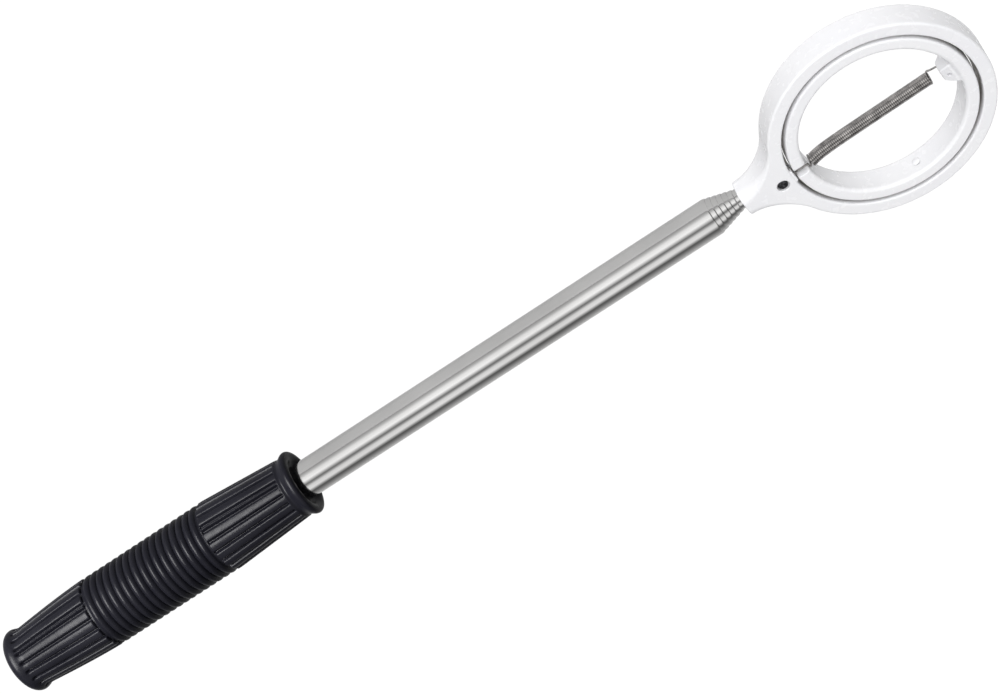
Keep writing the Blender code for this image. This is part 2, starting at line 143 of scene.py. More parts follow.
# Socket and stop tab
SOCKET_START = node_box("head_frame")[0].x
SOCKET_HALF = 6.2
SOCKET_EDGE = 4.4
SOCKET_RIM = 0.45
FILLET_START = SOCKET_START + 0.6
BLEND_END = 366.4
SOCKET_BORE = TUBE_RADIUS[-1] + 0.2
BORE_EDGE = 0.3
TAB_LOW = (366.6, -2.2, 2.2)
TAB_HIGH = (RING_X - 37.7, 3.4, 5.6)
TAB_EDGE = 0.35
TAB_FILLET = 0.3

# Screw and its well
SCREW_X = (node_box("head_screw")[0].x + node_box("head_screw")[1].x) / 2
WELL_RADIUS = 2.45
WELL_FLOOR = 5.8
WELL_EDGE = 0.25
SCREW_HOLE = 1.5
SCREW_BOTTOM = -4.4
HOLE_EDGE = 0.1
SCREW_END = -4.0
SCREW_TOP = 6.95
SCREW_RADIUS = 2.05
SCREW_DOME = 6.5
SCREW_SHANK = 1.15
SCREW_EDGES = (0.3, 0.1, 0.06)
CROSS_HALF = 0.3
CROSS_REACH = 1.3
CROSS_DEPTH = 0.75
CROSS_SLOPE = 0.35
SCREW_NET_STEP = 0.11

# Inner ring and pins
INNER_OUTER = node_box("inner_ring")[1].y
INNER_INNER = 32.0
INNER_EDGES = (1.4, 0.6)
PIN_HOLE = 1.5
PIN_HOLE_END = 41.9
PIN_EDGE = 0.15
PIN_SHANK = 1.25
PIN_HEAD = 1.7
PIN_DOME = 0.85
PIN_END = 41.5
PIN_TAPER = 0.5
PIN_SIDES = 40

# The inner ring's boss and its dimple, and the notch and slot for the spring's near end
BOSS_TIP = 26.5
BOSS_TIP_HALF = 2.75
BOSS_BASE = 30.5
BOSS_BASE_HALF = 4.8
BOSS_EDGES = (0.7, 0.6)
BOSS_FLANK = 0.9
BOSS_FILLET = 1.1
DIMPLE_PLACE = 29.2
DIMPLE_RADIUS = 0.8
DIMPLE_FLOOR = 2.4
DIMPLE_EDGE = 0.15
NOTCH_SIDES = (-0.8, 3.2)
NOTCH_FLOOR = 2.2
NOTCH_TOP = 12
NOTCH_EDGES = (0.3, 0.35)
CUT_REACH = 3
SLOT_LOW = (RING_X - INNER_OUTER - CUT_REACH, -0.75, -0.5)
SLOT_HIGH = (RING_X - 35.95, 0.75, NOTCH_FLOOR + 0.6)
SLOT_EDGE = 0.2

# Spring: half the wire's width, and half its height where it is coiled
WIRE = 0.38
COILED_HEIGHT = 0.12
COIL_RADIUS = 2.46
COIL_NEAR = 376.6
COIL_FAR = 428.5
COIL_TURNS = 67
COIL_STEPS = 24
LOOSE_TURN = 1.9
LOOSE_SIZE = 0.62
LOOSE_SHIFT = 0.35
COIL_START = math.radians(70)
COIL_END = math.radians(-47)
COIL_SLOPE = 1.2
COIL_LIFT = 1.5
COIL_LIFT_FALL = 14
COIL_LEVEL = -0.45
HOOK_REACH = 36.75
NEAR_WIRE_Z = 3.0
WIRE_SIDES = 10

# Camera: lens, sensor and place in millimetres, and its turns in degrees
LENS = 100.0
SENSOR = 36.0
CAMERA_PLACE = (492.4, 701.37, 750.04)
CAMERA_AZIMUTH = 70.01
CAMERA_ELEVATION = 45.27
CAMERA_ROLL = 161.53

# Painted shade in the gap between the rings, a dark colour standing in for the shadow there: its colour, and
# the heights where it starts to fade and ends
GAP_SHADE = (0.3, 0.285, 0.26)
GAP_SHADE_FULL = 2.4
GAP_SHADE_TOP = 5.2

# Floor: half its side in metres, its distance below the spun head in millimetres, and how white it looks
FLOOR_HALF = 6.0
FLOOR_CLEARANCE = 1.0
FLOOR_WHITE = 1.15
FLOOR_LIFT = 0.8

# Tent of light: (degrees about X, brightness), and its strength over that share of the way along X
TENT_STOPS = ((-180, 0.6), (-8, 0.6), (6, 0.48), (18, 0.75), (30, 1.2), (50, 1.42), (60, 0.8), (72, 0.2),
              (80, 0.45), (92, 1.05), (110, 1.15), (122, 0.5), (134, 0.12), (150, 0.25), (172, 0.5))
TENT_REACH = (0.5, 0.8)
TENT_STRENGTH = (2.0, 0.3)

# Lights: place, what they point at, size in metres, power in watts, and whether glossy surfaces show them
LIGHTS = {
    "grip_key": ((-0.17, 0.51, 0.32), (0.05, 0.0, 0.0), (0.42, 0.5), 27.0, True),
    "overhead": ((0.3, 0.3, 1.6), (0.25, 0.0, 0.0), (1.8, 1.8), 6.5, False),
    "front_fill": ((0.6, 1.5, 1.0), (0.25, 0.0, 0.0), (1.4, 1.4), 15.0, False),
}


# Numbers that shape things


def smooth_step(low, high, value):
    share = np.clip((value - low) / (high - low), 0.0, 1.0)
    return share * share * (3 - 2 * share)


def smooth_line(points, steps):
    """A Catmull-Rom curve through the points, with so many steps between two of them."""
    pts = [np.array(p, float) for p in points]
    pts = [2 * pts[0] - pts[1], *pts, 2 * pts[-1] - pts[-2]]
    out = []
    for a, b, c, d in zip(pts, pts[1:], pts[2:], pts[3:]):
        for i in range(steps):
            t = i / steps
            squared = (2 * a - 5 * b + 4 * c - d) * t ** 2
            cubed = (3 * b - a - 3 * c + d) * t ** 3
            out.append(tuple(0.5 * (2 * b + (c - a) * t + squared + cubed)))
    out.append(tuple(pts[-2]))
    return out


# Meshes and objects


def new_mesh(name, points, faces, normals=None, sharp=None):
    mesh = bpy.data.meshes.new(name)
    mesh.from_pydata((np.asarray(points, float) * MM).tolist(), [], faces)
    mesh.shade_smooth()
    if normals is not None:
        mesh.normals_split_custom_set_from_vertices(np.asarray(normals).tolist())
    if sharp:
        mesh.set_sharp_from_angle(angle=math.radians(sharp))
    return mesh


def new_piece(name, mesh, body, material, stands_for=()):
    made = bpy.data.objects.new(name, mesh)
    bpy.context.scene.collection.objects.link(made)
    mesh.materials.append(material)
    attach(made, body)
    if stands_for:
        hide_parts(*stands_for)


def round_faces(rows, columns, closed):
    """Quads over a grid whose columns run all the way round, and whose rows do too if closed."""
    index = np.arange(rows * columns).reshape(rows, columns)
    if closed:
        index = np.vstack((index, index[:1]))
    near, far = index[:-1], index[1:]
    quads = np.stack((near, np.roll(near, -1, 1), np.roll(far, -1, 1), far), -1)
    return quads.reshape(-1, 4).tolist()


def turned_mesh(name, profile, sides):
    """A closed profile of (x, radius) points, outer side first and forwards, turned about the shaft."""
    profile = np.array(profile, float)
    angles = np.arange(sides) * 2 * math.pi / sides
    x = np.repeat(profile[:, :1], sides, 1)
    y = profile[:, 1:] * np.cos(angles)
    z = profile[:, 1:] * np.sin(angles)
    points = np.stack((x, y, z), -1).reshape(-1, 3)
    return new_mesh(name, points, round_faces(len(profile), sides, True), sharp=TURNED_SHARP)


def capped_rings(rings, rows, columns, near, far):
    """Points and faces of a grid of rings, with a fan at each end to a point on the axis."""
    points = np.vstack((rings, [(near, 0, 0), (far, 0, 0)]))
    faces = round_faces(rows, columns, False)
    first, last, base = len(rings), len(rings) + 1, (rows - 1) * columns
    for i in range(columns):
        after = (i + 1) % columns
        faces.append((first, after, i))
        faces.append((last, base + i, base + after))
    return points, faces


def solid_turned_mesh(name, profile, sides):
    """An open profile that starts and ends on the axis, turned into a solid."""
    profile = np.array(profile, float)
    middle = profile[1:-1]
    angles = np.arange(sides) * 2 * math.pi / sides
    x = np.repeat(middle[:, :1], sides, 1)
    rings = np.stack((x, middle[:, 1:] * np.cos(angles), middle[:, 1:] * np.sin(angles)), -1).reshape(-1, 3)
    points, faces = capped_rings(rings, len(middle), sides, profile[0, 0], profile[-1, 0])
    return new_mesh(name, points, faces, sharp=TURNED_SHARP)


def carried(directions, up):
    """A direction kept square to each of the path's directions, handed on from one to the next."""
    ups = []
    for direction in directions:
        up = up - direction * (up @ direction)
        up = up / np.linalg.norm(up)
        ups.append(up)
    return ups


def swept_mesh(name, path, first, outward, halves, sides):
    """A wire along a path, with a flat cap at each end.

    The outward directions belong to the points from number first on; the other points' are carried on from
    them. Halves are each section's half width and its half height outward.
    """
    path = np.array(path, float)
    along = np.gradient(path, axis=0)
    along /= np.linalg.norm(along, axis=1)[:, None]
    last = first + len(outward)
    ups = carried(along[:first][::-1], outward[0])[::-1] + list(outward) + carried(along[last:], outward[-1])
    angles = np.arange(sides) * 2 * math.pi / sides
    rings = []
    for place, direction, up, (wide, high) in zip(path, along, ups, halves):
        side = np.cross(up, direction)
        side /= np.linalg.norm(side)
        up = np.cross(direction, side)
        rings.append(place + wide * np.outer(np.cos(angles), side) + high * np.outer(np.sin(angles), up))
    faces = round_faces(len(path), sides, False)
    base = (len(path) - 1) * sides
    faces.append(tuple(range(sides))[::-1])
    faces.append(tuple(base + i for i in range(sides)))
    return new_mesh(name, np.vstack(rings), faces, sharp=50)


# Solid fields: negative inside, in millimetres, and turned into meshes by a surface net


def round_max(a, b, radius):
    """The solid common to two fields, with its new edge rounded."""
    u, v = np.maximum(a + radius, 0.0), np.maximum(b + radius, 0.0)
    return np.minimum(-radius, np.maximum(a, b)) + np.hypot(u, v)


def round_min(a, b, radius):
    """The solid that joins two fields, with a fillet between them."""
    return -round_max(-a, -b, radius)


def slab(plan, z, half, edge):
    """A plan distance made a slab of that half height, its edges rounded."""
    return round_max(plan, np.abs(z) - half, edge)


def block(x, y, z, low, high, edge):
    centre = [(a + b) / 2 for a, b in zip(low, high)]
    halves = [(b - a) / 2 - edge for a, b in zip(low, high)]
    q = [np.abs(v - c) - h for v, c, h in zip((x, y, z), centre, halves)]
    outside = np.sqrt(sum(np.maximum(v, 0.0) ** 2 for v in q))
    return outside + np.minimum(np.maximum(np.maximum(q[0], q[1]), q[2]), 0.0) - edge


def net_corners(inside, value):
    """Number the cells that the surface passes through, and find the middle of each one's edge crossings."""
    cells = [n - 1 for n in inside.shape]
    total = np.zeros((*cells, 3))
    count = np.zeros(cells)
    for axis in range(3):
        a, b = (axis + 1) % 3, (axis + 2) % 3
        near = [slice(None)] * 3
        far = [slice(None)] * 3
        near[axis], far[axis] = slice(0, -1), slice(1, None)
        v0, v1 = value[tuple(near)], value[tuple(far)]
        crosses = inside[tuple(near)] != inside[tuple(far)]
        share = np.where(crosses, v0 / np.where(crosses, v0 - v1, 1.0), 0.0)
        for i in (0, 1):
            for j in (0, 1):
                part = [slice(None)] * 3
                part[a] = slice(i, cells[a] + i)
                part[b] = slice(j, cells[b] + j)
                hit = crosses[tuple(part)]
                count += hit
                total[..., axis] += np.where(hit, share[tuple(part)], 0.0)
                total[..., a] += hit * i
                total[..., b] += hit * j
    active = count > 0
    number = np.full(active.shape, -1)
    number[active] = np.arange(active.sum())
    return number, np.argwhere(active) + total[active] / count[active][:, None]


def net_faces(inside, number):
    """A quad round each grid edge that the surface crosses, facing out."""
    faces = []
    for axis in range(3):
        a, b = (axis + 1) % 3, (axis + 2) % 3
        near = [slice(1, -1)] * 3
        far = [slice(1, -1)] * 3
        near[axis], far[axis] = slice(0, -1), slice(1, None)
        start, end = inside[tuple(near)], inside[tuple(far)]
        base = np.argwhere(start != end)
        forward = start[tuple(base.T)]
        offset = np.ones(3, int)
        offset[axis] = 0
        base = base + offset
        back_a, back_b = np.eye(3, dtype=int)[a], np.eye(3, dtype=int)[b]
        ring = [base - back_a - back_b, base - back_b, base, base - back_a]
        quads = np.stack([number[tuple(cell.T)] for cell in ring], -1)
        quads[~forward] = quads[~forward][:, ::-1]
        faces += quads.tolist()
    return faces


def slope_of(field, points):
    slopes = []
    for axis in range(3):
        step = np.eye(3)[axis] * SLOPE_REACH
        slopes.append((field(*(points + step).T) - field(*(points - step).T)) / (2 * SLOPE_REACH))
    return np.stack(slopes, -1)


def net_mesh(name, field, low, high, step=NET_STEP):
    """The surface of a solid field as a fine closed mesh, its points moved onto it."""
    axes = [np.arange(a, b + step, step) for a, b in zip(low, high)]
    value = field(*np.meshgrid(*axes, indexing="ij"))
    inside = value < 0
    number, corners = net_corners(inside, value)
    points = np.array(low) + corners * step
    for _ in range(NET_MOVES):
        slope = slope_of(field, points)
        size = np.maximum((slope ** 2).sum(1), 0.05)
        move = slope * (field(*points.T) / size)[:, None]
        length = np.maximum(np.linalg.norm(move, axis=1), 1e-9)
        points -= move * np.minimum(1.0, 0.5 * step / length)[:, None]
    normals = slope_of(field, points)
    normals /= np.maximum(np.linalg.norm(normals, axis=1), 1e-9)[:, None]
    return new_mesh(name, points, net_faces(inside, number), normals=normals)


# Materials


class Finish:
    """A Principled material with helpers that add procedural detail, in the piece's own rest coordinates."""

    def __init__(self, name, colour, roughness, metallic=0.0):
        self.material = bpy.data.materials.new(name)
        self.material.use_nodes = True
        self.tree = self.material.node_tree
        self.shader = self.tree.nodes["Principled BSDF"]
        self.set("Base Color", (*colour, 1.0))
        self.set("Roughness", roughness)
        self.set("Metallic", metallic)
        self.place = self.tree.nodes.new("ShaderNodeTexCoord").outputs["Object"]
        self.bumps = None

    def set(self, socket, value):
        self.shader.inputs[socket].default_value = value

    def noise(self, scale, detail, stretch=(1, 1, 1)):
        """Noise whose scale is in features per metre, squeezed along each axis by stretch."""
        mapping = self.tree.nodes.new("ShaderNodeMapping")
        mapping.inputs["Scale"].default_value = stretch
        self.tree.links.new(self.place, mapping.inputs["Vector"])
        texture = self.tree.nodes.new("ShaderNodeTexNoise")
        texture.inputs["Scale"].default_value = scale
        texture.inputs["Detail"].default_value = detail
        self.tree.links.new(mapping.outputs["Vector"], texture.inputs["Vector"])
        return texture.outputs["Fac"]

    def ranged(self, factor, low, high, start=NOISE_LOW, end=NOISE_HIGH):
        node = self.tree.nodes.new("ShaderNodeMapRange")
        node.inputs["From Min"].default_value = start
        node.inputs["From Max"].default_value = end
        node.inputs["To Min"].default_value = low
        node.inputs["To Max"].default_value = high
        self.tree.links.new(factor, node.inputs["Value"])
        return node.outputs["Result"]

    def combined(self, operation, *values):
        node = self.tree.nodes.new("ShaderNodeMath")
        node.operation = operation
        for value, socket in zip(values, node.inputs):
            self.tree.links.new(value, socket)
        return node.outputs["Value"]

    def vary_roughness(self, factor, low, high):
        self.tree.links.new(self.ranged(factor, low, high), self.shader.inputs["Roughness"])

    def vary_colour(self, factor, first, second):
        ramp = self.tree.nodes.new("ShaderNodeValToRGB")
        ramp.color_ramp.elements[0].color = (*first, 1.0)
        ramp.color_ramp.elements[1].color = (*second, 1.0)
        ramp.color_ramp.elements[0].position = NOISE_LOW
        ramp.color_ramp.elements[1].position = NOISE_HIGH
        self.tree.links.new(factor, ramp.inputs["Fac"])
        self.tree.links.new(ramp.outputs["Color"], self.shader.inputs["Base Color"])

    def bump(self, factor, height):
        """Relief of that height in metres, over any relief given before."""
        node = self.tree.nodes.new("ShaderNodeBump")
        node.inputs["Distance"].default_value = height
        self.tree.links.new(factor, node.inputs["Height"])
        if self.bumps:
            self.tree.links.new(self.bumps, node.inputs["Normal"])
        self.bumps = node.outputs["Normal"]
        self.tree.links.new(self.bumps, self.shader.inputs["Normal"])


def rubber_finish():
    """Moulded rubber: near black with a cool cast, satin, with a fine leathery grain."""
    made = Finish("rubber", (0.003, 0.003, 0.0044), 0.33)
    patches = made.noise(60, 4)
    made.vary_colour(patches, (0.0024, 0.0024, 0.0036), (0.0039, 0.0039, 0.0054))
    made.vary_roughness(made.noise(350, 5), 0.27, 0.4)
    made.set("Specular IOR Level", 0.07)
    made.bump(made.noise(2600, 4), 0.00002)
    made.bump(made.noise(500, 3), 0.00003)
    return made.material


def tube_finish(number):
    """Polished stainless tube with faint drawing lines along it."""
    made = Finish(f"tube_steel_{number}", (0.62, 0.615, 0.61), 0.1, 1.0)
    lines = made.noise(900, 4, (0.02, 1, 1))
    made.vary_roughness(lines, 0.07, 0.14)
    made.vary_colour(made.noise(40 + number, 3), (0.59, 0.585, 0.58), (0.65, 0.645, 0.64))
    made.bump(lines, 0.000004)
    made.bump(made.noise(2500, 2, (1, 0.3, 0.3)), 0.000002)
    return made.material


def ring_place(made):
    """A point's distance from the ring's axis and from the rings' middle plane, in metres."""
    shifted = made.tree.nodes.new("ShaderNodeVectorMath")
    shifted.operation = "SUBTRACT"
    shifted.inputs[1].default_value = (RING_X * MM, 0.0, HEAD_RISE * MM)
    made.tree.links.new(made.place, shifted.inputs[0])
    split = made.tree.nodes.new("ShaderNodeSeparateXYZ")
    made.tree.links.new(shifted.outputs["Vector"], split.inputs["Vector"])
    flat = made.tree.nodes.new("ShaderNodeCombineXYZ")
    made.tree.links.new(split.outputs["X"], flat.inputs["X"])
    made.tree.links.new(split.outputs["Y"], flat.inputs["Y"])
    away = made.tree.nodes.new("ShaderNodeVectorMath")
    away.operation = "LENGTH"
    made.tree.links.new(flat.outputs["Vector"], away.inputs[0])
    return away.outputs["Value"], made.combined("ABSOLUTE", split.outputs["Z"])


def paint_gap_shade(made, shade_rise_radii, shade_fall_radii):
    """Painted shade: a dark colour standing in for shadow, deep on the walls that face each other across the
    gap between the rings.
    """
    radius, height = ring_place(made)
    shade_rise = made.ranged(radius, 0.0, 1.0, *[MM * r for r in shade_rise_radii])
    fade = made.ranged(radius, 1.0, 0.0, *[MM * r for r in shade_fall_radii])
    deep = made.ranged(height, 1.0, 0.0, GAP_SHADE_FULL * MM, GAP_SHADE_TOP * MM)
    patchy = made.ranged(made.noise(260, 4), 0.7, 1.0)
    share = made.combined("MULTIPLY", made.combined("MULTIPLY", shade_rise, fade), deep)
    share = made.combined("MULTIPLY", share, patchy)
    mix = made.tree.nodes.new("ShaderNodeMixRGB")
    mix.inputs["Color2"].default_value = (*GAP_SHADE, 1.0)
    source = made.shader.inputs["Base Color"].links[0].from_socket
    made.tree.links.new(share, mix.inputs["Fac"])
    made.tree.links.new(source, mix.inputs["Color1"])
    made.tree.links.new(mix.outputs["Color"], made.shader.inputs["Base Color"])


def white_finish(name, seed):
    """Glossy white moulding, faintly cool, with the soft waviness of moulded plastic."""
    made = Finish(name, (0.9, 0.9, 0.92), 0.25)
    made.vary_colour(made.noise(45 + seed, 3), (0.895, 0.895, 0.92), (0.915, 0.915, 0.932))
    made.vary_roughness(made.noise(300 + seed, 4), 0.2, 0.3)
    made.bump(made.noise(90, 2), 0.000004)
    made.set("Subsurface Weight", 0.08)
    made.set("Subsurface Radius", (0.002, 0.002, 0.002))
    return made


def dark_steel_finish(name, colour, roughness, grain):
    """Oiled or blackened steel, a little uneven."""
    made = Finish(name, colour, roughness, 1.0)
    made.vary_colour(made.noise(grain, 4), [c * 0.6 for c in colour], [min(1.0, c * 1.5) for c in colour])
    made.vary_roughness(made.noise(grain * 3, 3), roughness * 0.8, roughness * 1.3)
    made.bump(made.noise(grain * 6, 3), 0.00001)
    return made.material


def plain_plastic_finish(name, colour, roughness):
    """Turned or moulded plastic inside the tubes, with fine tool marks round it."""
    made = Finish(name, colour, roughness)
    marks = made.noise(700, 4, (3, 1, 1))
    made.vary_colour(made.noise(150, 3), [c * 0.9 for c in colour], [min(1.0, c * 1.08) for c in colour])
    made.vary_roughness(marks, roughness * 0.85, roughness * 1.2)
    made.bump(marks, 0.00001)
    return made.material


# Shaft


def tube_profile(k):
    """Closed profile of tube k, counted from 0: a necked rear, a long body and a rolled mouth."""
    rear, tip, outer = TUBE_REAR[k], TUBE_TIP[k], TUBE_RADIUS[k]
    bore = outer - TUBE_WALL
    outside, inside = [], []
    if k == 0:
        outside += [(rear, outer - 0.15), (rear + 0.2, outer)]
        inside += [(rear, bore + 0.1)]
    else:
        shoulder = rear + NECK_LENGTH
        neck, neck_bore = outer - NECK_DEPTH, bore - NECK_DEPTH
        outside += [(rear, neck + 0.3), (rear + 0.35, neck), (shoulder - 0.4, neck)]
        outside += [(shoulder - 0.15, outer - 0.12), (shoulder + 0.1, outer)]
        inside += [(shoulder + 0.2, bore), (shoulder - 0.2, neck_bore), (rear + 0.35, neck_bore)]
        inside += [(rear, neck_bore + 0.25)]
    lengths = np.linspace(rear + NECK_LENGTH + 2, tip - CRIMP_LENGTH - 2, 24)
    outside += [(x, outer) for x in lengths]
    if k == SECTIONS - 1:
        outside += [(tip - 0.2, outer), (tip, outer - 0.12)]
        front = [(tip, bore + 0.1), (tip - 0.2, bore)]
    else:
        rim = TUBE_RADIUS[k + 1] + MOUTH_GAP
        drop = outer - rim
        outside += [
            (tip - CRIMP_LENGTH * math.cos(a), rim + 0.1 + (drop - 0.1) * math.sqrt(max(0.0, math.cos(b))))
            for a, b in [(math.pi / 2 * i / 8, math.pi / 2 * (i / 8) ** 1.6) for i in range(9)]
        ]
        front = [(tip, rim), (tip - 1.2, rim), (tip - MOUTH_LENGTH, bore)]
    return outside + front + [(x, bore) for x in lengths[::-1]] + inside


def make_shaft():
    bodies = ["handle", "section_2", "section_3", "section_4", "section_5", "section_6", "head"]
    for k in range(SECTIONS):
        name = f"tube_{k + 1}"
        mesh = turned_mesh(name, tube_profile(k), TUBE_SIDES)
        new_piece(name, mesh, bodies[k], tube_finish(k + 1), (f"section_{k + 1}_tube",))
    nylon = plain_plastic_finish("bush_nylon_marks", (0.75, 0.74, 0.7), 0.42)
    for k in range(2, SECTIONS + 1):
        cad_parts[f"bush_{k}"].data.materials[0] = nylon
    black = plain_plastic_finish("plug_plastic_marks", (0.05, 0.05, 0.052), 0.45)
    for name in ("butt_plug", "tip_plug"):
        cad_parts[name].data.materials[0] = black


# Grip


def rear_outline():
    """(x, radius) points from the middle of the butt face to the front end of the fluted body."""
    points = [(0.0, 0.0), (0.0, 3.0), (0.0, 6.0)]
    points += smooth_line([*BUTT_CURVE, (BODY_START, BODY_RADIUS)], CURVE_STEPS)
    rise = (SHOULDER_RADIUS - BODY_RADIUS) / math.sin(BODY_SWELL)
    for x in (*np.arange(9.0, BODY_END - 1.5, 2.5), *np.arange(BODY_END - 1.5, BODY_END - 0.3, 0.25)):
        share = (x - BODY_START) / (BODY_END - BODY_START)
        points.append((x, BODY_RADIUS + rise * math.sin(BODY_SWELL * share)))
    small, large = SHOULDER_DROPS
    return points + [(BODY_END - 0.2, SHOULDER_RADIUS - small), (BODY_END, SHOULDER_RADIUS - large)]


def rib_outline():
    """(x, radius) points of the rounded ribs and of the flat grooves before and after them."""
    floor = RIB_RADIUS - RIB_DEPTH
    points = [(BODY_END + 0.15, floor), (RIB_START - 0.3, floor)]
    for rib in range(RIB_COUNT):
        for i in range(RIB_STEPS):
            share = i / RIB_STEPS
            rise = (1 - (2 * share - 1) ** 2) ** RIB_FULLNESS
            points.append((RIB_START + RIB_PITCH * (rib + share), RIB_RADIUS - RIB_DEPTH * (1 - rise)))
    return points + [(RIBS_END, floor), (NECK_START - 0.2, floor)]


def front_outline():
    """(x, radius) points of the front taper and the rolled lip."""
    small, large = SHOULDER_DROPS
    points = [(NECK_START, SHOULDER_RADIUS - large), (NECK_START + 0.2, SHOULDER_RADIUS - small)]
    level_end = NECK_START + NECK_LEVEL
    fall = (SHOULDER_RADIUS - NECK_RADIUS) / (NECK_END - level_end)
    stations = [*np.arange(NECK_START + 0.4, NECK_START + 2.2, 0.3)]
    stations += [*np.arange(NECK_START + 4, NECK_END - 1.5, 2.5), *np.arange(NECK_END - 1.4, NECK_END, 0.2)]
    points += [(x, SHOULDER_RADIUS - fall * max(0.0, x - level_end)) for x in stations]
    return points + smooth_line([(GRIP_END + x, radius) for x, radius in LIP_CURVE], CURVE_STEPS)


def bore_outline():
    """(x, radius) points from the lip's inner edge down the bore to the axis."""
    points = [(GRIP_END - 2.1, 8.6), (GRIP_END - 2.3, GRIP_BORE), (GRIP_END - 6, GRIP_BORE)]
    return points + [(80.0, GRIP_BORE), (20.0, GRIP_BORE), (BLIND_DEPTH, GRIP_BORE), (BLIND_DEPTH, 0.0)]


def flute_angles():
    """Columns round the grip, close together at the grooves.

    Returns each column's angle in degrees, how deep in a groove it is, and the grooves' middles.
    """
    columns = {}
    for k in range(FLUTE_COUNT):
        centre = FLUTE_FIRST + FLUTE_STEP * k
        for offset in FLUTE_COLUMNS:
            depth = 1.0 - float(smooth_step(FLUTE_FLOOR, FLUTE_TOP, offset))
            columns[centre + offset] = depth
            columns[centre - offset] = depth
    centres = [FLUTE_FIRST + FLUTE_STEP * k for k in range(FLUTE_COUNT)] + [FLUTE_FIRST + 360]
    for near, far in zip(centres, centres[1:]):
        for share in PAD_COLUMNS:
            angle = near + (far - near) * share
            if min(angle - near, far - angle) > FLUTE_COLUMNS[-1] + 0.3:
                columns[angle] = 0.0
    angles = np.array(sorted(columns))
    return angles, np.array([columns[a] for a in angles]), np.array(centres)


def fluted_share(x, radius):
    """How deep the grooves are along the outline: none at the ribs, at both ends and inside."""
    share = sum(smooth_step(*start, x) * (1 - smooth_step(*end, x)) for start, end in FLUTE_RUNS)
    return np.where(radius < GRIP_BORE + FLUTE_WALL, 0.0, share)


def make_grip():
    """The outline turned about the shaft, with grooves along it and rounded pads between them."""
    angles, depth, centres = flute_angles()
    which = np.clip(np.searchsorted(centres, angles, "right") - 1, 0, FLUTE_COUNT - 1)
    gap = np.diff(centres)[which]
    past = angles + np.where(angles < centres[0], 360, 0) - centres[which]
    from_middle = np.abs(past - gap / 2) / (gap / 2)
    pad = PAD_ROUND * (gap / FLUTE_STEP) ** 2 * (PAD_LEVEL - np.minimum(from_middle, 1.0) ** 2)
    outline = np.array(rear_outline() + rib_outline() + front_outline() + bore_outline())
    fluted = fluted_share(outline[:, 0], outline[:, 1])
    radius = outline[:, 1:] + fluted[:, None] * (pad - FLUTE_DEPTH * depth)
    turns = np.radians(angles)
    rows, columns = len(outline) - 2, len(angles)
    x = np.repeat(outline[1:-1, :1], columns, 1)
    rings = np.stack((x, radius[1:-1] * np.cos(turns), radius[1:-1] * np.sin(turns)), -1).reshape(-1, 3)
    points, faces = capped_rings(rings, rows, columns, outline[0, 0], outline[-1, 0])
    mesh = new_mesh("grip_rubber", points, faces, sharp=60)
    new_piece("grip_rubber", mesh, "handle", rubber_finish(), ("grip",))


# Head


def plan_distance(x, y):
    """Distance to the outline of socket and ring seen from the front: a disc, a bar and the arcs between."""
    reach = RING_X - FILLET_START
    fillet = (reach ** 2 / (RING_OUTER - SOCKET_HALF) - (RING_OUTER + SOCKET_HALF)) / 2
    y = np.abs(y)
    disc = np.hypot(x - RING_X, y) - RING_OUTER
    bar = np.where(x < RING_X, y - SOCKET_HALF, np.hypot(x - RING_X, np.maximum(y - SOCKET_HALF, 0.0)))
    dx, dy = x - FILLET_START, y - SOCKET_HALF - fillet
    along, down = reach, -(SOCKET_HALF + fillet)
    in_wedge = (dx >= 0) & (dx * down - dy * along >= 0)
    plain = np.minimum(disc, bar)
    return np.where(in_wedge, fillet - np.hypot(dx, dy), plain)


def frame_field(x, y, z):
    """The outer ring with its socket, whose middle climbs to the rings', its tab, well and holes."""
    share = 1 - smooth_step(FILLET_START, BLEND_END, x)
    edge = RING_EDGE + (SOCKET_EDGE - RING_EDGE) * share
    half = RING_HALF + (SOCKET_HALF - RING_HALF) * share
    above = z - HEAD_RISE
    solid = slab(plan_distance(x, y), above + (HEAD_RISE - SOCKET_RISE) * share, half, edge)
    solid = round_max(solid, SOCKET_START - x, SOCKET_RIM)
    out = np.hypot(x - RING_X, y)
    solid = round_max(solid, RING_INNER - out, WALL_EDGE)
    bead = round_max(BEAD_RADIUS - out, np.abs(above) - BEAD_HALF, BEAD_EDGE)
    solid = round_min(solid, np.maximum(bead, out - RING_INNER - BEAD_ROOT), BEAD_EDGE)
    bore = np.maximum(np.hypot(y, z) - SOCKET_BORE, x - RING_X)
    solid = round_max(solid, -bore, BORE_EDGE)
    solid = round_min(solid, block(x, y, above, TAB_LOW, TAB_HIGH, TAB_EDGE), TAB_FILLET)
    at_screw = np.hypot(x - SCREW_X, y)
    solid = round_max(solid, -np.maximum(at_screw - WELL_RADIUS, WELL_FLOOR - z), WELL_EDGE)
    solid = round_max(solid, -np.maximum(at_screw - SCREW_HOLE, SCREW_BOTTOM - z), HOLE_EDGE)
    pins = np.maximum(np.hypot(x - RING_X, above) - PIN_HOLE, np.abs(y) - PIN_HOLE_END)
    return round_max(solid, -pins, PIN_EDGE)


